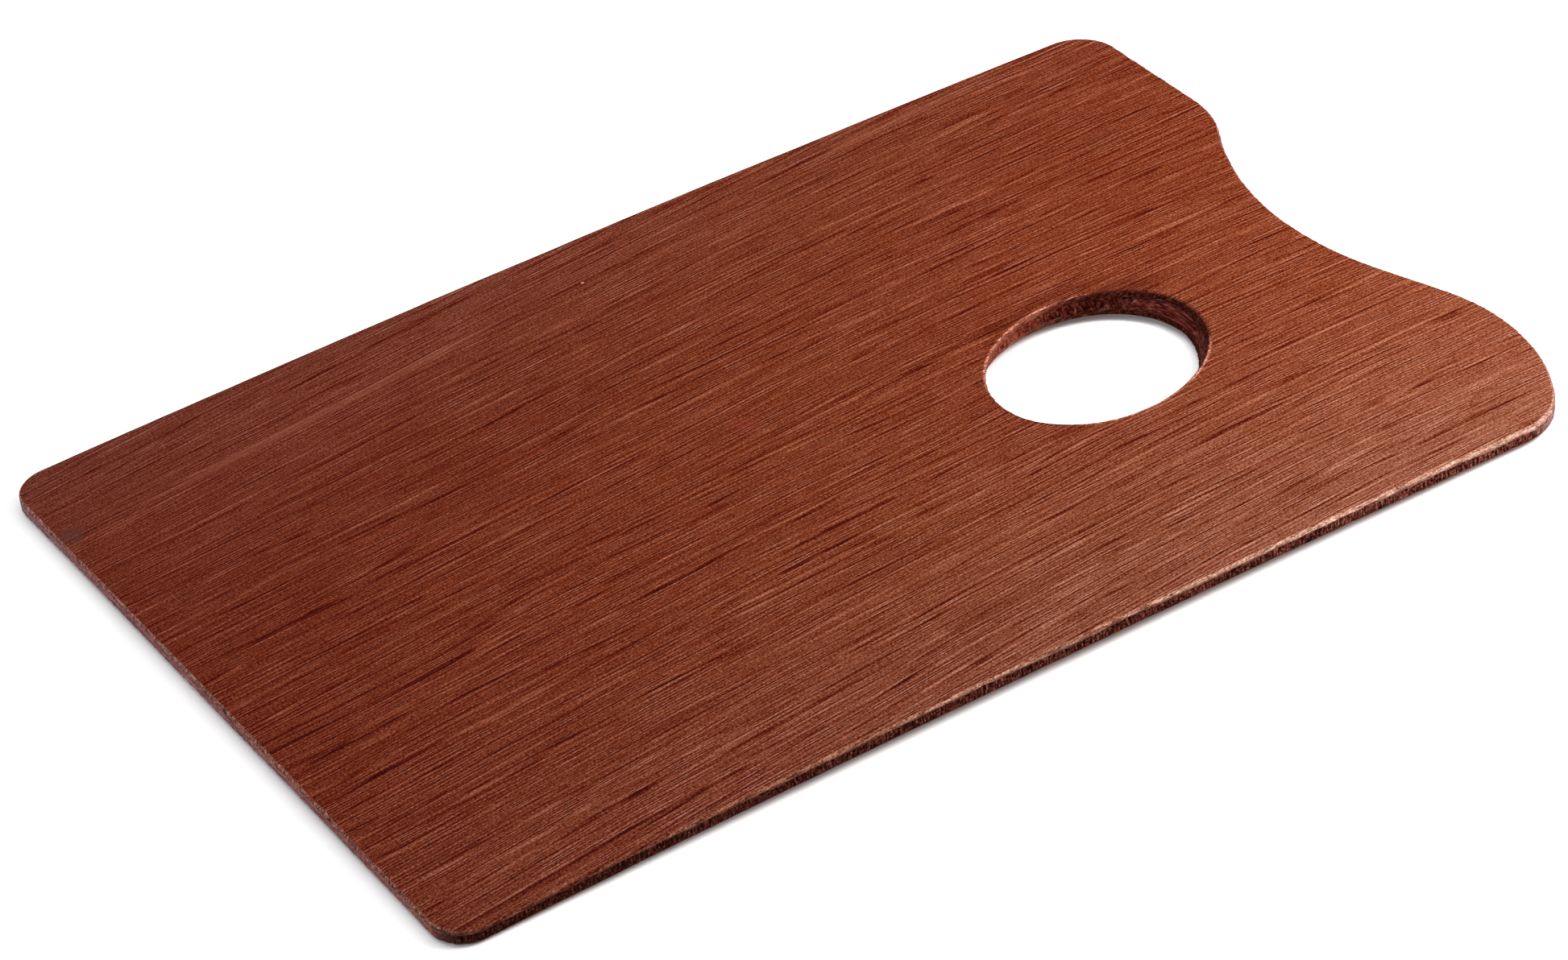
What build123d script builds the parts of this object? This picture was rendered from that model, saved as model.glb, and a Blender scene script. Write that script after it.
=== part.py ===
from build123d import *
import os
from math import cos, sin, radians

# Rectangular mixing palette sawn from one sheet of 3-ply hardwood plywood.
# Units are millimetres.  +X runs along the length and the face grain, +Z is up
# out of the mixing face.  The origin is the centre of the rectangle that the
# board is sawn from, on the underside, so the board fills z = 0 .. 5.
# The near edge is at -Y, the left edge at -X.

# ---- sheet ----------------------------------------------------------------
length = 350.0            # along X
width = 240.0             # along Y

face_ply_t = 1.1          # grain along X
glue_t = 0.1              # each of the two glue lines
core_ply_t = 2.6          # grain along Y, across the faces
back_ply_t = 1.1          # grain along X
thickness = face_ply_t + core_ply_t + back_ply_t + 2 * glue_t

# Lay-up from the underside up: piece name, thickness
layup = [
    ("back_ply", back_ply_t),
    ("lower_glue_line", glue_t),
    ("core_ply", core_ply_t),
    ("upper_glue_line", glue_t),
    ("face_ply", face_ply_t),
]

# ---- outline sizes --------------------------------------------------------
corner_r_near_left = 10.2
corner_r_far_left = 11.2
corner_r_far_right = 12.9

# Hand side (right short edge): a chain of tangent arcs and straights that
# starts at the foot of the plain part of the edge and ends on the near edge
plain_edge_end_y = 187.9  # nominal, measured up from the near edge
shoulder_r, shoulder_deg = 39.5, 29.3
shoulder_flat = 2.4
bay_r, bay_deg = 101.5, 48.6          # the hollow the fingers come round
bay_flat = 19.0
lobe_r, lobe_deg = 62.6, 55.4
hand_corner_r = 19.1
hand_corner_deg = 90.0 - shoulder_deg + bay_deg - lobe_deg  # ends along the near edge

# Radius or length, then turn in degrees: positive is left, 0 is a straight
hand_side_moves = [
    (shoulder_r, -shoulder_deg),
    (shoulder_flat, 0),
    (bay_r, bay_deg),
    (bay_flat, 0),
    (lobe_r, -lobe_deg),
    (hand_corner_r, -hand_corner_deg),
]

# ---- thumb hole -----------------------------------------------------------
# An ellipse sawn with the blade tilted, so that the same ellipse leaves the
# underside shifted along X and Y
hole_major = 65.0
hole_minor = 54.0
hole_turn_deg = 18.2      # major axis, anticlockwise from +X
hole_x = 253.2            # centre on the mixing face, from the left edge
hole_y = 97.3             # and from the near edge
hole_shift_x = -4.5       # shift of the ellipse at the underside
hole_shift_y = -1.3
cutter_overrun = 1.0      # how far the cutter rises past the top and bottom

# ---- sanded arrises -------------------------------------------------------
# The lower outer one is broad, for the hand and forearm, and runs through the
# back ply into the core
face_arris_r = 0.9
under_arris_r = 2.2
hole_arris_r = 0.6

# ---- edge selection and slicing -------------------------------------------
level_tolerance = 1e-4    # how far an edge may stray from its level
hole_centre_reach = 5     # hole rim edges are centred this close to the hole
slice_margin = 20         # extra length and width of the slicing blocks


# ---- outline, in coordinates from the near left corner --------------------
def point_from(point, heading, distance):
    angle = radians(heading)
    return (point[0] + distance * cos(angle), point[1] + distance * sin(angle))


def hand_side(start_y):
    """Segments of the hand side, clockwise from (length, start_y).

    A straight is (start, end) and an arc is (start, middle, end).
    """
    point, heading, segments = (length, start_y), -90.0, []
    for size, turn in hand_side_moves:
        if turn == 0:
            end = point_from(point, heading, size)
            segments.append((point, end))
        else:
            inward = 90.0 if turn > 0 else -90.0
            centre = point_from(point, heading + inward, size)
            middle = point_from(centre, heading - inward + turn / 2.0, size)
            end = point_from(centre, heading - inward + turn, size)
            segments.append((point, middle, end))
            heading += turn
        point = end
    return segments


def corner(centre_x, centre_y, radius, start_deg):
    """Start, middle and end of a clockwise quarter circle."""
    return tuple(
        point_from((centre_x, centre_y), start_deg - swept, radius)
        for swept in (0.0, 45.0, 90.0)
    )


def outline_edge(points):
    """A line through two points, or an arc through three, about the origin."""
    placed = [Vector(x - length / 2.0, y - width / 2.0, 0) for x, y in points]
    if len(placed) == 2:
        return Edge.make_line(*placed)
    return Edge.make_three_point_arc(*placed)


def make_outline():
    # Move the start of the chain by a hair so that it lands on the near edge
    landing_error = hand_side(plain_edge_end_y)[-1][-1][1]
    side = hand_side(plain_edge_end_y - landing_error)
    last_start, last_middle, last_end = side[-1]
    landing = (last_end[0], 0.0)
    side[-1] = (last_start, last_middle, landing)

    near_r, far_r, right_r = corner_r_near_left, corner_r_far_left, corner_r_far_right
    near_left = corner(near_r, near_r, near_r, 270.0)
    far_left = corner(far_r, width - far_r, far_r, 180.0)
    far_right = corner(length - right_r, width - right_r, right_r, 90.0)

    segments = [
        (far_left[-1], far_right[0]),
        far_right,
        (far_right[-1], side[0][0]),
        *side,
        (landing, near_left[0]),
        near_left,
        (near_left[-1], far_left[0]),
        far_left,
    ]
    return Face(Wire([outline_edge(points) for points in segments]))


# ---- board ----------------------------------------------------------------
def hole_centre(z):
    """Centre of the hole's ellipse at height z above the underside."""
    depth_ratio = (thickness - z) / thickness
    return (
        hole_x - length / 2.0 + hole_shift_x * depth_ratio,
        hole_y - width / 2.0 + hole_shift_y * depth_ratio,
    )


def hole_cutter():
    """Oblique elliptical prism that passes through both surfaces."""
    bottom_z, top_z = -cutter_overrun, thickness + cutter_overrun
    bottom = Vector(*hole_centre(bottom_z), bottom_z)
    top = Vector(*hole_centre(top_z), top_z)
    ellipse = Face(Wire([Edge.make_ellipse(hole_major / 2.0, hole_minor / 2.0)]))
    disc = Pos(bottom.X, bottom.Y, bottom.Z) * Rot(0, 0, hole_turn_deg) * ellipse
    return Solid.extrude(disc.face(), top - bottom)


def rim_edges(solid, z):
    """Edges lying in the level z, split into the outer loop and the hole."""
    hole_cx, hole_cy = hole_centre(z)
    outer, hole = [], []
    for edge in solid.edges():
        box = edge.bounding_box()
        if max(abs(box.min.Z - z), abs(box.max.Z - z)) > level_tolerance:
            continue
        centre = edge.center(CenterOf.BOUNDING_BOX)
        offset = max(abs(centre.X - hole_cx), abs(centre.Y - hole_cy))
        (hole if offset < hole_centre_reach else outer).append(edge)
    return outer, hole


def make_board():
    """The whole board with its hole and arrises, before it is sliced."""
    board = extrude(make_outline(), amount=thickness, dir=(0, 0, 1))
    board = board - hole_cutter()
    for level, radius in ((thickness, face_arris_r), (0.0, under_arris_r)):
        outer, _ = rim_edges(board, level)
        board = fillet(outer, radius)
    for level in (thickness, 0.0):
        _, hole = rim_edges(board, level)
        board = fillet(hole, hole_arris_r)
    return board


# ---- the five layers, sliced from the board -------------------------------
def slice_layer(board, bottom, top):
    block = Box(length + slice_margin, width + slice_margin, top - bottom)
    return board & (Pos(0, 0, (bottom + top) / 2.0) * block)


os.makedirs("parts", exist_ok=True)
board = make_board()
bottom = 0.0
for name, layer_t in layup:
    top = bottom + layer_t
    piece = slice_layer(board, bottom, top)
    piece.label = name
    export_step(piece, f"parts/{name}.step")
    bottom = top
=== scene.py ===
"""A flat plywood board of three plies and two glue lines, with a thumb hole near its right end.

It lies on the floor: x runs left to right along its length, y from the near long edge to the
far one, and z up from the back ply to the face ply. The near right corner is cut away in a
chain of arcs for the hand. Sizes are in millimetres unless noted.
"""
import math
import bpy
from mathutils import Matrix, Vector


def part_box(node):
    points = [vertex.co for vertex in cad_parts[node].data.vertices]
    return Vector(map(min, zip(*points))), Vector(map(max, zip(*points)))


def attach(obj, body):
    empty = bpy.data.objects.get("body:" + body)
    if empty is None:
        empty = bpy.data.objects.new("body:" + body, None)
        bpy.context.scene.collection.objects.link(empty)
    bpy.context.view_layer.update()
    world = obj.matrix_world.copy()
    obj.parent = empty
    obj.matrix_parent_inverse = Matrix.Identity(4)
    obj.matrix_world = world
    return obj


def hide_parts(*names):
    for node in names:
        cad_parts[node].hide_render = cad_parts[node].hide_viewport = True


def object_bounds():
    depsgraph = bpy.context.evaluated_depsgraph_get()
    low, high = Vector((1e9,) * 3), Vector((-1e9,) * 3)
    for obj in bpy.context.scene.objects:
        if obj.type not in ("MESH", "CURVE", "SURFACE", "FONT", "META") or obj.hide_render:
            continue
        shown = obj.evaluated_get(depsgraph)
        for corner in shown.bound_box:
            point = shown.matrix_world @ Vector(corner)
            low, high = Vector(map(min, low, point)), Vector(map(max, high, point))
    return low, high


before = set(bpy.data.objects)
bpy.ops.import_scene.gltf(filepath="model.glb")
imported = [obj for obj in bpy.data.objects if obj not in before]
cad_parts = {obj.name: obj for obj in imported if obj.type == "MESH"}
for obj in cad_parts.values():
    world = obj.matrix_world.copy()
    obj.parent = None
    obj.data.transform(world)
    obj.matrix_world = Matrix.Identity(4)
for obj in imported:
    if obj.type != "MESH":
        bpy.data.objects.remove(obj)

from types import SimpleNamespace

import bpy
import numpy as np
from mathutils import Matrix, Vector
from mathutils.geometry import delaunay_2d_cdt

cad_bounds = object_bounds()

# ---------------------------------------------------------------------------
# sizes
# ---------------------------------------------------------------------------
MM = 0.001
LOW, HIGH = (np.array(v) / MM for v in cad_bounds)
LENGTH, WIDTH = HIGH[0] - LOW[0], HIGH[1] - LOW[1]
CX, CY = (LOW[0] + HIGH[0]) / 2, (LOW[1] + HIGH[1]) / 2


def z_range(node):
    low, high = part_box(node)
    return low.z / MM, high.z / MM


BOTTOM, BACK_TOP = z_range("back_ply")
CORE_UNDER, CORE_TOP = z_range("core_ply")
FACE_UNDER, TOP = z_range("face_ply")

# outline, measured from the near left corner
R_NEAR_LEFT, R_FAR_LEFT, R_FAR_RIGHT = 10.2, 11.2, 12.9
# tangent pieces from the right end round to the near edge: kind, length or radius, turn in
# degrees (positive is to the left; None turns until the heading is along the near edge)
HAND_CHAIN = [
    ("arc", 39.5, -29.3),
    ("line", 2.4, 0),
    ("arc", 101.5, 48.6),
    ("line", 19.0, 0),
    ("arc", 62.6, -55.4),
    ("arc", 19.1, None),
]

# thumb hole: an ellipse whose bore leans as it goes down
HOLE_X, HOLE_Y = 253.2, 97.3                     # centre at the top, from the near left corner
HOLE_A, HOLE_B = 32.5, 27.0                      # half axes
HOLE_COS, HOLE_SIN = (f(math.radians(18.2)) for f in (math.cos, math.sin))
HOLE_LEAN_X, HOLE_LEAN_Y = -4.5 / 5.0, -1.3 / 5.0    # drift per mm of depth

# mean radii of the rounded edges
R_TOP, R_UNDER, R_HOLE_TOP, R_HOLE_UNDER = 0.9, 2.2, 0.6, 0.5

# crown: how far the ends and the long edges drop below the middle
BOW_X, BOW_Y = 2.15, 0.69
RISE = BOW_X + BOW_Y - 0.14                      # the four rounded corners rest on the floor

# mesh spacing
RING_STEP = 0.42
GRID_STEP = 7.0
# inner rings of cap points: distance from the edge, and one point for every so many on it
OUTLINE_RINGS = ((4.0, 5), (7.0, 12))
HOLE_RINGS = ((3.2, 4), (6.5, 9))


def bow(x, y):
    u, v = (x - CX) / (LENGTH / 2), (y - CY) / (WIDTH / 2)
    return RISE - BOW_X * u * u - BOW_Y * v * v


# ---------------------------------------------------------------------------
# the two loops: points, unit normals out of the wood, distance along, total length
# ---------------------------------------------------------------------------
# A segment is its length and a function from 0..1 along it to x, y and heading.
def line(start, end):
    heading = math.atan2(end[1] - start[1], end[0] - start[0])

    def place(t):
        return start[0] + (end[0] - start[0]) * t, start[1] + (end[1] - start[1]) * t, heading
    return math.dist(start, end), place


def arc(start, heading, radius, turn):
    side = math.copysign(math.pi / 2, turn)
    centre_x = start[0] + radius * math.cos(heading + side)
    centre_y = start[1] + radius * math.sin(heading + side)

    def place(t):
        angle = heading - side + turn * t
        return (centre_x + radius * np.cos(angle), centre_y + radius * np.sin(angle),
                heading + turn * t)
    return radius * abs(turn), place


def hand_segments(start_y):
    """The hand's cut-out from the right end at start_y: its segments and its end point."""
    point, heading, segments = (LENGTH, start_y), -math.pi / 2, []
    for kind, size, turn in HAND_CHAIN:
        if kind == "line":
            end = (point[0] + size * math.cos(heading), point[1] + size * math.sin(heading))
            segments.append(line(point, end))
            point = end
        else:
            turn = -math.pi - heading if turn is None else math.radians(turn)
            segments.append(arc(point, heading, size, turn))
            *point, heading = map(float, segments[-1][1](1.0))
    return segments, point


def outline_segments():
    """Clockwise seen from above, from the far left corner."""
    hand_y = -hand_segments(0.0)[1][1]           # so that the chain ends on the near edge
    hand, hand_end = hand_segments(hand_y)
    return [
        line((R_FAR_LEFT, WIDTH), (LENGTH - R_FAR_RIGHT, WIDTH)),
        arc((LENGTH - R_FAR_RIGHT, WIDTH), 0.0, R_FAR_RIGHT, -math.pi / 2),
        line((LENGTH, WIDTH - R_FAR_RIGHT), (LENGTH, hand_y)),
        *hand,
        line((hand_end[0], 0.0), (R_NEAR_LEFT, 0.0)),
        arc((R_NEAR_LEFT, 0.0), math.pi, R_NEAR_LEFT, -math.pi / 2),
        line((0.0, R_NEAR_LEFT), (0.0, WIDTH - R_FAR_LEFT)),
        arc((0.0, WIDTH - R_FAR_LEFT), math.pi / 2, R_FAR_LEFT, -math.pi / 2),
    ]


def outline_loop():
    segments = outline_segments()
    total = sum(length for length, _ in segments)
    count = int(round(total / RING_STEP))
    dist = np.arange(count) * total / count
    x, y, heading = np.zeros((3, count))
    start = 0.0
    for length, place in segments:
        here = (dist >= start - 1e-9) & (dist < start + length - 1e-9)
        x[here], y[here], heading[here] = place((dist[here] - start) / length)
        start += length
    points = np.stack([x + CX - LENGTH / 2, y + CY - WIDTH / 2], 1)
    normals = np.stack([-np.sin(heading), np.cos(heading)], 1)
    return SimpleNamespace(points=points, normals=normals, dist=dist, total=total)


def turn_by_hole(x, y):
    return np.stack([HOLE_COS * x - HOLE_SIN * y, HOLE_SIN * x + HOLE_COS * y], 1)


def hole_loop():
    """Counter-clockwise, about the hole's own centre."""
    dense = np.linspace(0, 2 * np.pi, 4001)
    steps = np.hypot(np.diff(HOLE_A * np.cos(dense)), np.diff(HOLE_B * np.sin(dense)))
    dense_dist = np.concatenate([[0], np.cumsum(steps)])
    total = dense_dist[-1]
    count = int(round(total / RING_STEP))
    dist = np.arange(count) * total / count
    angle = np.interp(dist, dense_dist, dense)
    normal_x, normal_y = -np.cos(angle) / HOLE_A, -np.sin(angle) / HOLE_B
    size = np.hypot(normal_x, normal_y)
    return SimpleNamespace(
        points=turn_by_hole(HOLE_A * np.cos(angle), HOLE_B * np.sin(angle)),
        normals=turn_by_hole(normal_x / size, normal_y / size), dist=dist, total=total)


def hole_centre(z):
    depth = TOP - z
    return np.stack([HOLE_X + CX - LENGTH / 2 + HOLE_LEAN_X * depth,
                     HOLE_Y + CY - WIDTH / 2 + HOLE_LEAN_Y * depth], -1)


OUTLINE, HOLE = outline_loop(), hole_loop()


# ---------------------------------------------------------------------------
# seeded noise, about -1..1
# ---------------------------------------------------------------------------
def ease(t):
    return t * t * (3 - 2 * t)


def smooth(start, end, x):
    return ease(np.clip((x - start) / (end - start), 0, 1))


def knot_count(loop, wavelength, octave):
    return max(4, int(round(loop.total / (wavelength / 2 ** octave))))


def loop_noise(loop, wavelength, seed):
    """Smooth periodic noise along a closed loop."""
    rng = np.random.default_rng(seed)
    out, gain, norm = np.zeros_like(loop.dist), 1.0, 0.0
    for octave in range(3):
        count = knot_count(loop, wavelength, octave)
        knots = rng.uniform(-1, 1, count)
        place = loop.dist / loop.total * count
        cell = np.floor(place).astype(int)
        part = ease(place - cell)
        out += gain * (knots[cell % count] * (1 - part) + knots[(cell + 1) % count] * part)
        norm += gain
        gain *= 0.5
    return out / norm * 1.5


def wall_noise(loop, z, along, up, seed, octaves=2):
    """Noise on the unrolled wall, with waves of along by up mm."""
    rng = np.random.default_rng(seed)
    out, gain, norm = np.zeros(z.shape), 1.0, 0.0
    rows = 64
    for octave in range(octaves):
        count = knot_count(loop, along, octave)
        knots = rng.uniform(-1, 1, (count, rows))
        place = loop.dist[None, :] / loop.total * count
        height = np.mod(z / (up / 2 ** octave), rows)
        i, j = np.floor(place).astype(int), np.floor(height).astype(int)
        part, rise = ease(place - i), ease(height - j)
        i0, i1, j0, j1 = i % count, (i + 1) % count, j % rows, (j + 1) % rows
        out += gain * ((knots[i0, j0] * (1 - part) + knots[i1, j0] * part) * (1 - rise)
                       + (knots[i0, j1] * (1 - part) + knots[i1, j1] * part) * rise)
        norm += gain
        gain *= 0.55
    return out / norm * 1.4


# ---------------------------------------------------------------------------
# edge radii, wandering glue lines and wall relief
# ---------------------------------------------------------------------------
def outline_radii():
    """Top and bottom edge radius at each point of the outline."""
    x, y = OUTLINE.points.T
    top = R_TOP + 0.14 * loop_noise(OUTLINE, 30, 11) + 0.05 * loop_noise(OUTLINE, 5, 12)
    under = R_UNDER + 0.25 * loop_noise(OUTLINE, 60, 13)
    left = smooth(-160, -172, x)
    v = (y - CY) / (WIDTH / 2)
    top = top + left * (-0.12 - 0.22 * v)        # the left end is crisper towards the far side
    under = under - left * (0.27 + 0.08 * v)
    near = smooth(-112, -119, y)
    top = top + near * smooth(-60, 150, x) * 0.28    # the near edge is rounder to the right
    under = under - near * smooth(60, 140, x) * 0.25
    return np.clip(top, 0.45, 1.35), np.clip(under, 1.2, 3.2)


def hole_radii():
    normal_x, normal_y = HOLE.normals.T
    top = R_HOLE_TOP + 0.12 * loop_noise(HOLE, 14, 21)
    top = top + 0.40 * smooth(0.2, 0.8, normal_x - 0.5 * normal_y)    # rubbed at the far left
    top = top - 0.25 * smooth(0.2, 0.8, -normal_x - 0.3 * normal_y)   # crisp at the right
    under = R_HOLE_UNDER + 0.1 * loop_noise(HOLE, 12, 22)
    return np.clip(top, 0.3, 1.05), np.clip(under, 0.25, 0.7)


def wander(loop, seed, size):
    """Height of a glue line along the wall: waves, and ramps that end in a sudden step."""
    wave = size * (0.7 * loop_noise(loop, 14, seed) + 0.35 * loop_noise(loop, 3.2, seed + 1))
    rng = np.random.default_rng(seed + 2)
    for _ in range(int(loop.total / 26)):
        start = rng.uniform(0, loop.total)
        length = rng.uniform(2, 6)
        height = rng.uniform(0.4, 1.1) * size
        past = (loop.dist - start) % loop.total
        sign = 1 if rng.random() < 0.5 else -1
        wave += np.where(past < length, height * (past / length), 0) * sign
    return wave


for loop in (OUTLINE, HOLE):
    loop.facing_x, loop.facing_y = np.abs(loop.normals.T)
OUTLINE.radius_top, OUTLINE.radius_under = outline_radii()
HOLE.radius_top, HOLE.radius_under = hole_radii()
OUTLINE.waves = {"flat": 0 * OUTLINE.dist,
                 "upper": wander(OUTLINE, 31, 0.42) * (0.35 + 0.65 * OUTLINE.facing_y),
                 "lower": wander(OUTLINE, 41, 0.12)}
HOLE.waves = {"flat": 0 * HOLE.dist,
              "upper": wander(HOLE, 51, 0.16),
              "lower": wander(HOLE, 61, 0.14)}
OUTLINE.seed_shift, OUTLINE.roughness = 0, 1.0
HOLE.seed_shift, HOLE.roughness = 50, 1.9
RELIEF_SEEDS = {"face": 100, "core": 200, "back": 300, "glue": 400}


def inset(loop, z):
    """How far the rounded edges pull the wall in at height z."""
    def one(depth, radius):
        drop = np.sqrt(np.clip(radius * radius - (radius - depth) ** 2, 0, None))
        return np.where(depth < radius, radius - drop, 0)
    return one(TOP - z, loop.radius_top) + one(z - BOTTOM, loop.radius_under)


def relief(kind, loop, z):
    """Offset of the sawn wall along its outward normal."""
    seed = RELIEF_SEEDS[kind] + loop.seed_shift
    fine = wall_noise(loop, z, 0.9, 0.8, seed + 1)
    upright = wall_noise(loop, z, 0.85, 6.0, seed + 2, octaves=1)   # fibres and saw marks
    pits = wall_noise(loop, z, 1.7, 1.0, seed + 3)
    pits = -np.clip(pits - 0.35, 0, 1) * 0.55
    lengthwise = wall_noise(loop, z, 14.0, 0.35, seed + 4)          # long grain
    if kind == "glue":
        offset = 0.02 * fine - 0.05
    else:
        end = smooth(0.35, 0.9, loop.facing_y if kind == "core" else loop.facing_x)
        offset = (end * (0.055 * fine + 0.075 * upright + pits)
                  + (1 - end) * (0.018 * lengthwise + 0.01 * fine))
    if kind == "core":
        offset = offset - 0.02
    return offset * loop.roughness


# ---------------------------------------------------------------------------
# meshes
# ---------------------------------------------------------------------------
def inside(points, polygon):
    x, y = points.T
    x0, y0 = polygon.T
    x1, y1 = np.roll(x0, -1), np.roll(y0, -1)
    result = np.zeros(len(points), bool)
    batch = 2000                                 # keeps the crossing table small
    for i in range(0, len(points), batch):
        px, py = x[i:i + batch, None], y[i:i + batch, None]
        cross = ((y0 > py) != (y1 > py)) & (px < (x1 - x0) * (py - y0) / (y1 - y0 + 1e-15) + x0)
        result[i:i + batch] = (cross.sum(1) % 2) == 1
    return result


def cap_grid():
    """Inner points and triangles of the sheet between its loops; every level reuses them."""
    edge = OUTLINE.points
    centre = hole_centre(np.array((TOP + BOTTOM) / 2))
    hole_edge = HOLE.points + centre
    rings = [edge[::k] - OUTLINE.normals[::k] * d for d, k in OUTLINE_RINGS]
    rings += [(hole_edge - HOLE.normals * d)[::k] for d, k in HOLE_RINGS]

    # square grid, clear of the hole and of the outline
    grid_x = np.arange(LOW[0] + 11, HIGH[0] - 10, GRID_STEP)
    grid_y = np.arange(LOW[1] + 11, HIGH[1] - 10, GRID_STEP)
    grid = np.stack(np.meshgrid(grid_x, grid_y), -1).reshape(-1, 2)
    turned = (grid - centre) @ np.array([[HOLE_COS, -HOLE_SIN], [HOLE_SIN, HOLE_COS]])
    grid = grid[((turned[:, 0] / (HOLE_A + 10)) ** 2 + (turned[:, 1] / (HOLE_B + 10)) ** 2) > 1]
    from_edge = np.array([np.min(np.hypot(*(edge[::12] - p).T)) for p in grid])
    grid = grid[from_edge > 10.5]
    grid = grid[inside(grid, edge[::6])]

    points = np.concatenate([edge, hole_edge] + rings + [grid])
    n_edge, n_hole = len(edge), len(hole_edge)
    borders = [(i, (i + 1) % n_edge) for i in range(n_edge)]
    borders += [(n_edge + i, n_edge + (i + 1) % n_hole) for i in range(n_hole)]
    verts, _, faces, origins, _, _ = delaunay_2d_cdt(
        [Vector(p) for p in points.tolist()], borders, [], 0, 1e-7, True)
    verts = np.array([tuple(p) for p in verts])
    tris = np.array([t for t in faces if len(t) == 3])
    middle = verts[tris].mean(1)
    tris = tris[inside(middle, edge) & ~inside(middle, hole_edge)]
    source = np.array([min(o) if len(o) else -1 for o in origins])
    tris = source[tris]
    tris = tris[(tris >= 0).all(1)]
    p0, p1, p2 = points[tris].transpose(1, 0, 2)
    area = ((p1[:, 0] - p0[:, 0]) * (p2[:, 1] - p0[:, 1])
            - (p1[:, 1] - p0[:, 1]) * (p2[:, 0] - p0[:, 0]))
    tris[area < 0] = tris[area < 0][:, ::-1]     # counter-clockwise seen from above
    return points[n_edge + n_hole:], tris


CAP_POINTS, CAP_TRIS = cap_grid()


def wall_points(loop, kind, upper, lower, fractions):
    part = fractions[:, None]
    z_upper, z_lower = (z + loop.waves[wave] for z, wave in (upper, lower))
    z = z_upper * (1 - part) + z_lower * part
    # near the flat faces the relief dies out, so the edge stays clean
    calm = smooth(0.0, 0.25, TOP - z) * smooth(0.0, 0.25, z - BOTTOM)
    offset = -inset(loop, z) + relief(kind, loop, z) * calm
    xy = loop.points + loop.normals * offset[..., None]
    if loop is HOLE:
        xy = xy + hole_centre(z)
    return np.concatenate([xy, z[..., None]], -1).reshape(-1, 3)


def wall_quads(base, count, rows):
    i = np.arange(count)
    j = (i + 1) % count
    quads = []
    for r in range(rows - 1):
        a, b = base + r * count, base + (r + 1) * count
        quads.append(np.stack([a + i, a + j, b + j, b + i], 1))
    return quads


def layer_mesh(name, kind, upper, lower, fractions):
    """A closed mesh of one layer; upper and lower are each a height and its wave."""
    rows, n_edge, n_hole = len(fractions), len(OUTLINE.points), len(HOLE.points)
    hole_base = rows * n_edge
    n_wall = hole_base + rows * n_hole
    verts = [wall_points(loop, kind, upper, lower, fractions) for loop in (OUTLINE, HOLE)]
    quads = np.concatenate(wall_quads(0, n_edge, rows) + wall_quads(hole_base, n_hole, rows))
    n_cap = len(CAP_POINTS)
    tris = []
    for cap, (row, z) in enumerate(((0, upper[0]), (rows - 1, lower[0]))):
        verts.append(np.column_stack([CAP_POINTS, np.full(n_cap, z)]))
        index = np.concatenate([row * n_edge + np.arange(n_edge),
                                hole_base + row * n_hole + np.arange(n_hole),
                                n_wall + cap * n_cap + np.arange(n_cap)])
        cap_tris = index[CAP_TRIS]
        tris.append(cap_tris[:, ::-1] if cap else cap_tris)
    verts = np.concatenate(verts)
    verts[:, 2] += bow(verts[:, 0], verts[:, 1])
    tris = np.concatenate(tris)

    mesh = bpy.data.meshes.new(name)
    n_quad, n_tri = len(quads), len(tris)
    corners = np.concatenate([quads.ravel(), tris.ravel()])
    starts = np.concatenate([np.arange(n_quad) * 4, n_quad * 4 + np.arange(n_tri) * 3])
    mesh.vertices.add(len(verts))
    mesh.vertices.foreach_set("co", (verts * MM).astype(np.float32).ravel())
    mesh.loops.add(len(corners))
    mesh.loops.foreach_set("vertex_index", corners.astype(np.int32))
    mesh.polygons.add(n_quad + n_tri)
    mesh.polygons.foreach_set("loop_start", starts.astype(np.int32))
    mesh.polygons.foreach_set("use_smooth", np.ones(n_quad + n_tri, bool))
    mesh.update(calc_edges=True)
    mesh.validate()
    return add_object(name, mesh)


def add_object(name, data):
    ob = bpy.data.objects.new(name, data)
    bpy.context.scene.collection.objects.link(ob)
    return ob


# ---------------------------------------------------------------------------
# shader building
# ---------------------------------------------------------------------------
class Value:
    """A shader socket; arithmetic on it adds Math nodes. Adding a negative number stays an
    Add node, and dividing by a number multiplies by its reciprocal."""

    def __init__(self, shader, socket):
        self.shader, self.socket = shader, socket

    def __add__(self, other):
        return self.shader.math("ADD", self, other)

    def __radd__(self, other):
        return self.shader.math("ADD", other, self)

    def __sub__(self, other):
        return self.shader.math("SUBTRACT", self, other)

    def __rsub__(self, other):
        return self.shader.math("SUBTRACT", other, self)

    def __mul__(self, other):
        return self.shader.math("MULTIPLY", self, other)

    def __truediv__(self, number):
        return self * (1 / number)

    def __pow__(self, other):
        return self.shader.math("POWER", self, other)

    def __abs__(self):
        return self.shader.math("ABSOLUTE", self)


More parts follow.
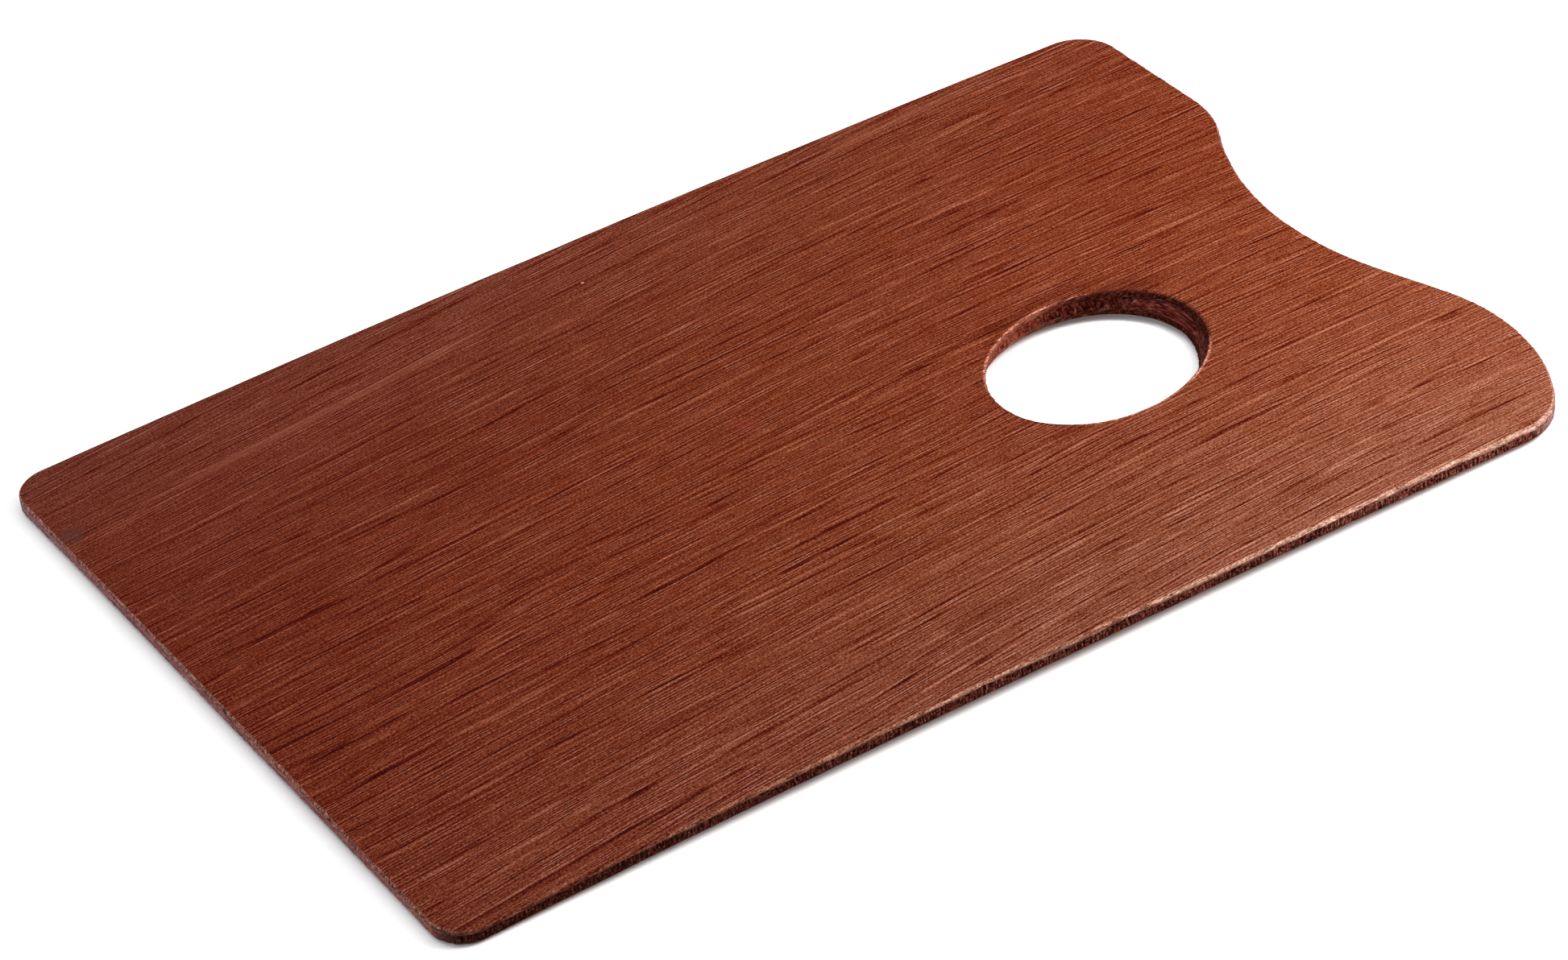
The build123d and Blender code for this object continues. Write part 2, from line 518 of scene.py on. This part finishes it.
class Shader:
    """Builds the node tree of a material or a world."""

    def __init__(self, owner):
        owner.use_nodes = True
        self.owner, self.tree = owner, owner.node_tree
        self.tree.nodes.clear()

    def node(self, kind, inputs=None, **props):
        node = self.tree.nodes.new(kind)
        for name, value in props.items():
            setattr(node, name, value)
        for key, value in (inputs or {}).items():
            if isinstance(value, Value):
                self.tree.links.new(value.socket, node.inputs[key])
            else:
                node.inputs[key].default_value = value
        return node

    def value(self, kind, output=0, inputs=None, **props):
        return Value(self, self.node(kind, inputs, **props).outputs[output])

    def math(self, operation, *values):
        return self.value("ShaderNodeMath", 0, dict(enumerate(values)), operation=operation)

    def linear(self, value, start, end, low, high, **props):
        """low to high as value goes from start to end, clamped."""
        return self.value("ShaderNodeMapRange", 0,
                          dict(enumerate((value, start, end, low, high))), **props)

    def fade(self, value, start, end, low=0.0, high=1.0):
        """As linear, but eased at both ends; start may lie above end."""
        return self.linear(value, start, end, low, high, interpolation_type="SMOOTHSTEP")

    def vector(self, *xyz):
        return self.value("ShaderNodeCombineXYZ", 0, dict(enumerate(xyz)))

    def split(self, vector):
        node = self.node("ShaderNodeSeparateXYZ", {0: vector})
        return [Value(self, socket) for socket in node.outputs]

    def noise(self, vector, detail=2.0, rough=0.5):
        return self.value("ShaderNodeTexNoise", 0, {
            "Vector": vector, "Scale": 1.0, "Detail": detail, "Roughness": rough,
            "Distortion": 0.0})

    def mix(self, factor, first, second, mode="MIX"):
        return self.value("ShaderNodeMix", 2, {0: factor, 6: first, 7: second},
                          data_type="RGBA", blend_type=mode)

    def darken(self, factor, color, keep):
        """Multiply color by keep where factor is 1."""
        return self.mix(factor, color, self.mix(1.0, color, (*keep, 1), "MULTIPLY"))

    def tone(self, base, offset, gain=(1.0, 1.0, 1.0)):
        """Linear colour from a display tone (0..255) plus an offset scaled by gain."""
        channels = {}
        for i in range(3):
            level = base[i] + (offset * gain[i] if gain[i] != 1.0 else offset)
            channels[i] = self.math("MAXIMUM", level / 255, 0.012) ** 2.2
        return self.value("ShaderNodeCombineColor", 0, channels)

    def color_ramp(self, value, stops):
        node = self.node("ShaderNodeValToRGB", {0: value})
        ends = node.color_ramp.elements
        for i in (0, -1):
            ends[i].position, ends[i].color = stops[i]
        for position, color in stops[1:-1]:
            ends.new(position).color = color
        return Value(self, node.outputs[0])

    def position(self):
        """Object x, y, z in mm."""
        return [axis * 1000.0 for axis in self.split(self.value("ShaderNodeTexCoord", "Object"))]

    def finish(self, color, rough, height, bump, bump_mm, specular, glow=None):
        """Principled surface with bump; glow is a white emission strength."""
        normal = self.value("ShaderNodeBump", 0, {
            "Strength": bump, "Distance": bump_mm * MM, "Height": height})
        inputs = {"Base Color": color, "Roughness": rough, "Specular IOR Level": specular,
                  "Normal": normal}
        if glow:
            inputs.update({"Emission Color": (1.0, 1.0, 1.0, 1.0), "Emission Strength": glow})
        surface = self.value("ShaderNodeBsdfPrincipled", 0, inputs)
        self.node("ShaderNodeOutputMaterial", {0: surface})
        return self.owner


def new_shader(name):
    return Shader(bpy.data.materials.new(name))


def rgb(*levels):
    """Display levels 0..255 as a linear colour."""
    parts = [c / 255 for c in levels]
    return (*(c / 12.92 if c <= 0.04045 else ((c + 0.055) / 1.055) ** 2.4 for c in parts), 1.0)


def graded(base, value, slope):
    """Base tone plus value times slope, for each channel."""
    return [b + value * k for b, k in zip(base, slope)]


# ---------------------------------------------------------------------------
# places and masks on the board
# ---------------------------------------------------------------------------
def grain_frame(mat, cross):
    """Along and across the grain and the height, in mm; end is 1 where end grain shows.

    x and y run -1..1 over the board. The core's grain runs across the board; that of the
    other plies runs along it in a slow curve.
    """
    x_mm, y_mm, z_mm = mat.position()
    normal = mat.split(mat.value("ShaderNodeNewGeometry", "Normal"))
    x = (x_mm - CX) * (2 / LENGTH)
    y = (y_mm - CY) * (2 / WIDTH)
    x2, y2 = x * x, y * y
    # the crown is taken off again, so the veneer's figure stays in its plane
    height = z_mm + -RISE + x2 * BOW_X + y2 * BOW_Y
    at = SimpleNamespace(x=x, y=y, x_mm=x_mm, y_mm=y_mm, height=height, normal=normal)
    if cross:
        at.along, at.across, at.end = y_mm, x_mm, abs(normal[1])
        return at
    degree = LENGTH / 2 * math.pi / 180          # drift over half the length per degree
    drift = (x * (3.3 * degree) + x2 * (-0.8 * degree) + x2 * x * (-0.733 * degree)
             + y2 * x * (2.2 * degree) + y * x * (0.7 * degree))
    across = y_mm - drift
    wobble = mat.noise(mat.vector(x_mm / 70, across / 18, height / 18), detail=1.0)
    at.along, at.across, at.end = x_mm, across + wobble * 2.2, abs(normal[0])
    return at


def hole_frame(mat, at):
    """Place in the hole's ellipse (1 is its rim), with masks for its wall."""
    centre_x, centre_y = (float(c) for c in hole_centre(np.array(TOP)))
    depth = TOP - at.height
    x = at.x_mm + -centre_x + depth * -HOLE_LEAN_X
    y = at.y_mm + -centre_y + depth * -HOLE_LEAN_Y
    long_axis = (x * HOLE_COS + y * HOLE_SIN) / HOLE_A
    short_axis = (y * HOLE_COS + x * -HOLE_SIN) / HOLE_B
    radius = mat.math("SQRT", long_axis * long_axis + short_axis * short_axis)
    return SimpleNamespace(
        long_axis=long_axis, short_axis=short_axis, radius=radius,
        wall=mat.fade(radius, 1.020, 1.007),
        pale=mat.fade(long_axis, 0.78, -0.05))   # paler towards the left, partly rubbed and partly painted light


def lit_corner(mat, at):
    """Wall facing out of the near right corner, which gets a painted highlight."""
    facing = (at.normal[0] - at.normal[1]) * 0.7071
    return mat.fade(facing, 0.74, 0.95) * mat.fade(at.x_mm, 118.0, 146.0)


def shaded_corner(mat, at):
    """Wall facing out of the near left corner, which gets painted shade."""
    facing = (at.normal[0] + at.normal[1]) * -0.7071
    return (mat.fade(facing, 0.74, 0.95) * mat.fade(at.x_mm, -150.0, -166.0)
            * mat.fade(abs(at.normal[2]), 0.93, 0.75))


def pores(mat, at, length, width, size, soft, keep, shift):
    """1 inside a pore: cells of length by width mm, those of random value above keep filled."""
    vector = mat.vector(at.along / length + shift, at.across / width, at.height / width)
    cells = mat.node("ShaderNodeTexVoronoi", {"Vector": vector, "Scale": 1.0, "Randomness": 1.0})
    split = mat.node("ShaderNodeSeparateColor", {0: Value(mat, cells.outputs["Color"])})
    chance, girth = (Value(mat, split.outputs[i]) for i in (0, 1))
    filled = mat.fade(chance, keep, keep + 0.08)
    limit = mat.linear(girth, 0, 1, size * 0.6, size * 1.25)
    return mat.fade(limit - Value(mat, cells.outputs["Distance"]), 0.0, soft) * filled


# ---------------------------------------------------------------------------
# face and back veneer
# ---------------------------------------------------------------------------
# broad tone of the sheet, red, green and blue: constant, x, y, xx, xy, yy; partly the wood's
# tone and partly painted light, paler towards the near right and the long edges where the lamp's
# sheen falls
SHEET_TONE_AND_SHEEN = (
    (94.2, 12.2, -5.5, 0.4, -5.8, 3.3),
    (40.7, 8.9, -6.1, -1.2, -7.3, 8.7),
    (21.6, 5.8, -5.2, -1.4, -8.8, 12.5),
)
END_GAIN = (1.0, 0.9, 0.9)                       # noise gain by channel on end and long grain
HOLE_SHADE_GAIN = (1.0, 0.8, 0.7)                    # the same on the hole's wall, which is painted shade

# pale streaks on the face: centre and half width across the grain, fade-in start and end and
# fade-out start and end along it, strength
PALE_STREAKS = (
    (101.2, 2.4, -160.0, -120.0, -60.0, -25.0, 0.16),
    (104.5, 2.0, 60.0, 95.0, 125.0, 150.0, 0.14),
)
# small marks on the face: x, y, radius in x, radius in y, strength, colour
SPOTS = (
    (-171.5, 87.0, 5.0, 5.5, 0.50, rgb(66, 44, 34)),
    (-11.0, 11.0, 4.0, 5.5, 0.16, rgb(132, 30, 40)),
    (143.0, 66.0, 9.0, 5.0, 0.15, rgb(90, 50, 34)),
    (-8.5, 98.8, 0.55, 0.5, 0.8, rgb(190, 160, 140)),
)


# the sheet's broad tone, with the painted sheen and fall-off of light in it
def sheet_tone_and_sheen(at):
    terms = (at.x, at.y, at.x * at.x, at.x * at.y, at.y * at.y)
    base = []
    for level, *slopes in SHEET_TONE_AND_SHEEN:
        for term, slope in zip(terms, slopes):
            level = level + term * slope
        base.append(level)
    return base


def worn_and_lit_edges(mat, at, color, wear, worn_tone, end, end_tone):
    """Edge wear of the face ply, in place of its plain color, with painted highlight and painted
    shade.
    """
    x = at.x
    side_facing = abs(at.normal[1])
    # paler on the long edges where the oil has rubbed off, in patches; more to the right the
    # paleness is also a painted highlight
    side = (mat.fade(side_facing + mat.linear(x, 0.2, 0.8, low=0.0, high=0.10), 0.16, 0.52)
            * (1.0 - end))
    patches = mat.fade(wear + x * 0.16 + 0.12, -0.12, 0.12, low=0.35)
    worn_and_sheen = side * patches * mat.fade(x, -0.85, 0.30, low=0.08, high=0.97)
    pale = mat.tone(graded((142.0, 100.0, 82.0), x, (20.0, 22.0, 24.0)), worn_tone)
    color = mat.mix(worn_and_sheen, color, pale)
    # its lower border is ragged and darker, a painted shade under the pale rounded edge
    low = mat.fade(at.height + -FACE_UNDER + wear * 1.3, 0.44, 0.12)
    low = low * mat.fade(side_facing, 0.5, 0.8) * mat.fade(x, 0.95, 0.35, low=0.30)
    oiled = mat.tone(graded((70.0, 38.0, 31.0), x, (22.0, 16.0, 14.0)), end_tone * 0.6)
    color = mat.mix(low * 0.8, color, oiled)
    # painted highlight on the wall facing out of the near right corner
    color = mat.mix(lit_corner(mat, at) * 0.8, color,
                    mat.tone((136.0, 102.0, 96.0), worn_tone))
    # painted shade on the wall facing out of the near left corner
    return mat.mix(shaded_corner(mat, at) * 0.8, color,
                   mat.tone((54.0, 30.0, 24.0), end_tone * 0.6))


def hole_rim_wear_and_light(mat, at, hole, color, wear, worn_tone):
    """Rim of the hole, the turned short edges, and oil crept into the face. The rim gets painted
    shade, its left lip a paleness that is partly wear and partly painted highlight, and the
    short edges a painted highlight.
    """
    radius, long_axis = hole.radius, hole.long_axis
    rim = mat.fade(radius, 1.050, 1.022) * mat.fade(radius, 1.0, 1.006)
    lip = mat.fade(long_axis, 0.80, 0.50) * mat.fade(long_axis, -0.98, -0.70)
    lip = rim * lip * mat.fade(wear, -0.14, 0.02, low=0.45)
    # painted shade round the hole's rim, then its left lip, partly wear and partly painted
    # highlight
    color = mat.darken(rim * 0.7, color, keep=(0.35, 0.25, 0.25))
    color = mat.mix(lip * 0.9, color, mat.tone((168.0, 104.0, 87.0), worn_tone * 1.5))
    # a thin warm line where the face turns over at the short edges, a painted highlight
    turnover = mat.fade(at.end, 0.10, 0.28) * mat.fade(at.end, 0.60, 0.36)
    color = mat.mix(turnover * 0.12, color, rgb(150, 66, 36))
    # the oil has crept a few millimetres into the face on the far side of the hole
    soak = (mat.fade(radius + long_axis * -0.12, 1.24, 1.04)
            * (mat.fade(hole.short_axis, 0.10, 0.45) * mat.fade(long_axis, -0.75, -0.35)))
    return mat.darken(soak * (1.0 - rim * 0.5) * 0.85, color, keep=(0.72, 0.56, 0.46))


def face_marks(mat, at, color, wear):
    for centre, half, in_start, in_end, out_start, out_end, strength in PALE_STREAKS:
        away = abs((at.across + wear * 1.5) - centre)
        ends = mat.fade(at.along, in_start, in_end) * mat.fade(at.along, out_end, out_start)
        mask = mat.fade(away, half, half * 0.3) * ends * strength
        color = mat.mix(mask, color, rgb(158, 96, 74))
    for x, y, radius_x, radius_y, strength, spot_color in SPOTS:
        dx = (at.x_mm - x) / radius_x
        dy = (at.y_mm - y) / radius_y
        ragged = mat.noise(mat.vector(at.x_mm * 0.35, at.y_mm * 0.5, 0.0), detail=3.0)
        away = mat.math("SQRT", dx * dx + dy * dy) + (ragged - 0.5) * 1.3
        color = mat.mix(mat.fade(away, 1.0, 0.25) * strength, color, spot_color)
    return color


def veneer_material(name, under=False):
    mat = new_shader(name)
    at = grain_frame(mat, cross=False)
    hole = hole_frame(mat, at)
    if under:                                    # the back ply is another part of the wood
        at.along, at.across = at.along + 731.0, at.across + 57.0

    def streaks(length, width, shift, detail=0.0, rough=0.5):
        """Zero-centred noise in cells of length by width mm."""
        vector = mat.vector(at.along / length + shift, at.across / width + shift * 1.7,
                            at.height / width)
        return mat.noise(vector, detail, rough) - 0.5

    def lines(gap, run, shift):
        """Nearly even grain lines, gap mm apart, that fade in and out every run mm."""
        phase = (at.across * (2 * math.pi / gap)
                 + streaks(110, 3.0 * gap, shift) * (2 * math.pi * 4.0)
                 + streaks(26, 1.6 * gap, shift + 5.0) * (2 * math.pi * 0.9))
        strength = mat.linear(streaks(run, 0.9 * gap, shift + 9.0, detail=1.0),
                              -0.11, 0.13, low=0.05, high=1.0)
        wave = mat.math("SINE", phase)
        return (wave * wave * -0.45 + wave + 0.225) * strength

    fine_lines = lines(gap=1.05, run=13.0, shift=3.3)
    mid_lines = lines(gap=1.55, run=19.0, shift=15.1)
    wide_lines = lines(gap=2.6, run=32.0, shift=27.7)
    short = streaks(4.5, 0.38, shift=61.3)
    fleck = streaks(0.72, 0.36, shift=71.9, detail=1.0, rough=0.6)
    # open pores: thin dark dashes on one side of the fine lines
    pore = (mat.fade(fine_lines, -0.25, -0.7)
            * mat.fade(streaks(11.0, 0.42, shift=91.0), -0.02, -0.10))
    # weights here and below are display levels
    tone = (fine_lines * 30.0 + mid_lines * 16.0 + wide_lines * 1.0
            + streaks(60, 2.2, shift=31.9) * 2 + streaks(90, 5.0, shift=43.1) * 1
            + streaks(140, 12.0, shift=57.7) * 4
            + short * 24 + fleck * 120 + pore * -8 + 1.0)
    contrast = 1.0 + at.x * 0.12 + at.y * -0.12
    color = mat.tone(sheet_tone_and_sheen(at), tone * contrast)

    # end grain: greyer and duller, with the pores cut across
    end = mat.fade(at.end + at.y * 0.14, 0.19, 0.55)
    mottle = streaks(4.0, 0.46, shift=101.0, detail=1.0, rough=0.7)
    dots = pores(mat, at, length=9.0, width=0.95, size=0.22, soft=0.1, keep=0.5, shift=120.0)
    end_tone = mottle * 190.0 + streaks(4.0, 1.1, shift=107.0) * 90.0 + dots * -42.0 + 4.0
    end_base = graded((113.0, 75.0, 66.0), at.y, (2.0, 6.0, 7.0))
    color = mat.mix(end, color, mat.tone(end_base, end_tone, END_GAIN))

    if not under:
        wear = streaks(9.0, 1.2, shift=113.0, detail=2.0, rough=0.6)
        worn_tone = fleck * 200.0 + short * 120.0 + wear * 70.0
        color = worn_and_lit_edges(mat, at, color, wear, worn_tone, end, end_tone)
        color = hole_rim_wear_and_light(mat, at, hole, color, wear, worn_tone)
        color = face_marks(mat, at, color, wear)

    # the hole's wall: painted shade, darkest on the right and paler on the left, where it is
    # partly rubbed and partly painted light; with torn fibres
    torn = streaks(1.4, 0.8, shift=131.0, detail=2.0, rough=0.7)
    hole_base = graded((50.0, 15.0, 8.0), hole.pale, (66.0, 50.0, 42.0))
    hole_color = mat.tone(hole_base, mottle * 120.0 + torn * 90.0, HOLE_SHADE_GAIN)
    color = mat.mix(hole.wall, color, hole_color)
    return mat.finish(
        color,
        rough=0.60 + pore * 0.25 + fleck * -0.2 + end * 0.2,
        height=pore * -1.0 + fine_lines * 0.35 + fleck * 1.6 + end * mottle * 2.5,
        bump=0.30, bump_mm=0.18, specular=0.05)


# ---------------------------------------------------------------------------
# core veneer, glue and floor
# ---------------------------------------------------------------------------
def core_material(name):
    mat = new_shader(name)
    at = grain_frame(mat, cross=True)
    hole = hole_frame(mat, at)
    x = at.x

    def streaks(length, width, depth, shift, detail=1.0, rough=0.6):
        """Zero-centred noise in cells of length by width by depth mm."""
        vector = mat.vector(at.along / length + shift, at.across / width + shift,
                            at.height / depth + shift)
        return mat.noise(vector, detail, rough) - 0.5

    # long grain, seen on the short edges
    fibre = streaks(10, 1.0, 0.22, shift=15.0)
    dashes = pores(mat, at, length=7.0, width=0.62, size=0.30, soft=0.16, keep=0.45, shift=0.0)
    long_tone = (streaks(30, 1.6, 0.32, shift=5.0) * 90.0 + fibre * 120.0
                 + streaks(0.9, 0.6, 0.3, shift=25.0) * 150.0 + dashes * -30.0 + 4.0)
    long_base = graded((120.0, 76.0, 72.0), at.y, (5.0, 5.0, 10.0))
    long_color = mat.tone(long_base, long_tone, END_GAIN)

    # end grain, seen on the long edges: soaked dark, with fibres that run up the wall; it gets
    # lighter and more contrasty to the right, which is painted light
    upright = streaks(5, 0.66, 2.6, shift=35.0)
    mottle = streaks(5, 0.95, 0.80, shift=45.0, detail=2.0, rough=0.8)
    dots = pores(mat, at, length=6.0, width=0.85, size=0.26, soft=0.1, keep=0.4, shift=60.0)
    contrast = mat.linear(x, -0.9, 0.5, low=0.55, high=1.0)
    end_tone = (upright * 235.0 + mottle * 235.0 + streaks(5, 9.0, 9.0, shift=55.0) * 60.0
                + dots * -26.0 + 2.0) * contrast
    end_base = graded((60.0, 26.0, 20.0), x, (20.0, 13.0, 13.0))
    end_color = mat.tone(end_base, end_tone, (1.0, 0.75, 0.65))
    # bright torn fibres here and there
    torn = mat.fade(streaks(5, 0.45, 0.9, shift=75.0), 0.15, 0.25)
    end_color = mat.mix(torn * contrast * 0.7, end_color, rgb(170, 112, 80))
    end = mat.fade(at.end, 0.40, 0.80)
    color = mat.mix(end, long_color, end_color)

    # the hole's wall, painted shade: paler on the left, partly rubbed and partly painted light,
    # and redder where it faces left, a painted fill light
    hole_tone = (end * upright * 130.0 + mottle * 150.0 + (1.0 - end) * fibre * 120.0 + 2.0)
    hole_base = graded((46.0, 13.0, 7.0), hole.pale, (60.0, 36.0, 30.0))
    hole_color = mat.tone(hole_base, hole_tone, HOLE_SHADE_GAIN)
    right = mat.fade(at.normal[0] * -1.0, 0.35, 0.75) * (1.0 - hole.pale)
    hole_color = mat.mix(right * 0.8, hole_color,
                         mat.tone((82.0, 36.0, 30.0), hole_tone, HOLE_SHADE_GAIN))
    color = mat.mix(hole.wall, color, hole_color)

    # painted highlight on the wall facing out of the near right corner
    color = mat.mix(lit_corner(mat, at) * 0.75, color,
                    mat.tone((126.0, 92.0, 88.0), long_tone))
    # painted shade on the wall facing out of the near left corner
    color = mat.mix(shaded_corner(mat, at) * 0.85, color,
                    mat.tone((46.0, 21.0, 16.0), end_tone * 0.8))
    # walls that turn under get painted shade
    turned = mat.fade(at.normal[2], -0.05, -0.45) * (1.0 - hole.wall)
    color = mat.darken(turned * 0.85, color, keep=(0.72, 0.56, 0.54))
    return mat.finish(
        color,
        rough=0.66 + end * 0.16 + mottle * 0.2,
        height=((1.0 - end) * fibre * 1.5 + end * upright * 2.5 + mottle * 1.6
                + dots * -1.2 + torn * 1.0),
        bump=0.5, bump_mm=0.30, specular=0.03)


def glue_material(name):
    mat = new_shader(name)
    x, y, z = mat.position()
    fine = mat.noise(mat.vector(x * 0.9, y * 0.9, z * 2.0), detail=3.0, rough=0.6)
    broad = mat.noise(mat.vector(x * 0.12, y * 0.12, z * 1.0))
    stops = [(0.2, rgb(30, 12, 8)), (0.5, rgb(58, 28, 20)), (0.8, rgb(104, 62, 46))]
    color = mat.color_ramp(fine * 0.6 + broad * 0.4, stops)
    return mat.finish(color, rough=mat.linear(fine, 0.3, 0.7, low=0.45, high=0.7), height=fine,
                      bump=0.3, bump_mm=0.2, specular=0.3)


def floor_material(name):
    """Pale paper. For the camera only, it glows and runs out into the backdrop's tone."""
    mat = new_shader(name)
    place = mat.value("ShaderNodeTexCoord", "Object")
    mottle = mat.noise(mat.mix(1.0, place, (60, 60, 60, 1), "MULTIPLY"))
    x, y, _ = mat.split(place)
    radius = mat.math("SQRT", x * x + y * y)     # in metres
    camera_ray = mat.value("ShaderNodeLightPath", "Is Camera Ray")
    far = mat.fade(radius, 0.75, 1.7) * camera_ray
    color = mat.mix(mottle, (0.92, 0.92, 0.92, 1), (0.95, 0.95, 0.95, 1))
    color = mat.mix(far, color, (0.0, 0.0, 0.0, 1))
    return mat.finish(color, rough=0.9, height=mottle, bump=0.02, bump_mm=0.1, specular=0.1,
                      glow=camera_ray * 0.08 + far * 0.87)


FACE_VENEER = veneer_material("face_veneer_oiled")
BACK_VENEER = veneer_material("back_veneer_oiled", under=True)
CORE_VENEER = core_material("core_veneer_crossgrain")
GLUE = glue_material("glue_resin_dark")


# ---------------------------------------------------------------------------
# the layers
# ---------------------------------------------------------------------------
def rounded_rows(radius, height, n_arc, n_flat):
    """Fractions from a rounded edge across a layer, packed round the edge."""
    rows = radius * (1 - np.cos(np.linspace(0, np.pi / 2, n_arc)))
    rows = rows[rows < height - 0.04]
    flat = np.linspace(rows[-1], height, n_flat + 1)[1:]
    return np.concatenate([rows, flat]) / height


FACE_ROWS = rounded_rows(R_TOP, abs(TOP - FACE_UNDER), n_arc=8, n_flat=3)
BACK_ROWS = 1 - rounded_rows(R_UNDER, abs(BACK_TOP - BOTTOM), n_arc=12, n_flat=2)[::-1]
BACK_ROWS = np.unique(np.round(np.concatenate([[0, 1], BACK_ROWS, np.linspace(0, 1, 5)]), 4))
CORE_ROWS = np.linspace(0, 1, 12)
GLUE_ROWS = np.array([0.0, 1.0])

# node, kind, upper and lower level (height and wave), wall rows from the top, material
LAYERS = [
    ("face_ply", "face", (TOP, "flat"), (FACE_UNDER, "upper"), FACE_ROWS, FACE_VENEER),
    ("upper_glue_line", "glue", (FACE_UNDER, "upper"), (CORE_TOP, "upper"), GLUE_ROWS, GLUE),
    ("core_ply", "core", (CORE_TOP, "upper"), (CORE_UNDER, "lower"), CORE_ROWS, CORE_VENEER),
    ("lower_glue_line", "glue", (CORE_UNDER, "lower"), (BACK_TOP, "lower"), GLUE_ROWS, GLUE),
    ("back_ply", "back", (BACK_TOP, "lower"), (BOTTOM, "flat"), BACK_ROWS, BACK_VENEER),
]

for node, kind, upper, lower, rows, material in LAYERS:
    layer = layer_mesh(node + "_board", kind, upper, lower, rows)
    layer.data.materials.append(material)
    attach(layer, "root")
    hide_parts(node)


# ---------------------------------------------------------------------------
# floor, lights and world, in metres and watts
# ---------------------------------------------------------------------------
def add_floor(half):
    mesh = bpy.data.meshes.new("studio_floor")
    corners = [(-half, -half, 0.0), (half, -half, 0.0), (half, half, 0.0), (-half, half, 0.0)]
    mesh.from_pydata(corners, [], [(0, 1, 2, 3)])
    return add_object("studio_floor", mesh)


floor = add_floor(half=6.0)
floor.data.materials.append(floor_material("studio_floor_pale"))


def area_light(name, place, target, size, power, color):
    light = bpy.data.lights.new(name, "AREA")
    light.shape = "RECTANGLE"
    light.size, light.size_y = size
    light.energy = power
    light.color = color
    ob = add_object(name, light)
    ob.location = place
    aim = Vector(target) - Vector(place)
    ob.rotation_euler = aim.to_track_quat("-Z", "Y").to_euler()


area_light("key_softbox", place=(0.85, -0.52, 0.80), target=(0.06, -0.02, 0.0),
           size=(0.7, 0.7), power=21.0, color=(1.0, 0.97, 0.94))
area_light("top_softbox", place=(0.0, 0.15, 1.5), target=(0.0, 0.0, 0.0),
           size=(1.4, 1.4), power=11.0, color=(1.0, 0.99, 0.98))
area_light("left_fill", place=(-1.4, 0.1, 0.45), target=(0.0, 0.0, 0.0),
           size=(0.9, 0.7), power=5.0, color=(0.86, 0.92, 1.0))


def studio_world(name):
    """Bright overhead, dim round the sides, plain pale where the camera sees it."""
    world = bpy.data.worlds.new(name)
    bpy.context.scene.world = world
    sky = Shader(world)
    height = sky.split(sky.value("ShaderNodeTexCoord", "Generated"))[2]
    stops = [(0.45, (0.13, 0.135, 0.14, 1)), (0.95, (0.95, 0.96, 0.98, 1))]
    camera_ray = sky.value("ShaderNodeLightPath", "Is Camera Ray")
    color = sky.mix(camera_ray, sky.color_ramp(height, stops), (0.95, 0.95, 0.95, 1))
    background = sky.value("ShaderNodeBackground", 0, {"Color": color, "Strength": 1.0})
    sky.node("ShaderNodeOutputWorld", {0: background})


studio_world("studio_world")

view = bpy.context.scene.view_settings
view.view_transform = "Standard"
view.look = "None"
view.exposure = 0.0

# ---------------------------------------------------------------------------
# camera
# ---------------------------------------------------------------------------
CAMERA_RIGHT = (0.8399925550976648, -0.5336593315500332, -0.09808274685217733)
CAMERA_UP = (0.37704719165402845, 0.4440980698842276, 0.8127806097532801)
CAMERA_BACK = (-0.3901895983317687, -0.7197114853708222, 0.5742538246998968)
# from above the near left corner, level with the top of the crown
CAMERA_OFFSET = np.array([-389.82717820658286, -908.5282018634201, 807.2643313490812])
SENSOR_WIDTH, FOCAL_LENGTH = 36.0, 125.4300048773

camera_place = (CAMERA_OFFSET + np.array([CX - LENGTH / 2, CY - WIDTH / 2, TOP + RISE])) * MM
camera = bpy.data.cameras.new("camera")
camera.sensor_fit = "HORIZONTAL"
camera.sensor_width = SENSOR_WIDTH
camera.lens = FOCAL_LENGTH
camera.clip_start, camera.clip_end = 0.05, 20.0
camera_ob = add_object("camera", camera)
columns = zip(CAMERA_RIGHT, CAMERA_UP, CAMERA_BACK, camera_place.tolist())
camera_ob.matrix_world = Matrix([*columns, (0.0, 0.0, 0.0, 1.0)])
bpy.context.scene.camera = camera_ob
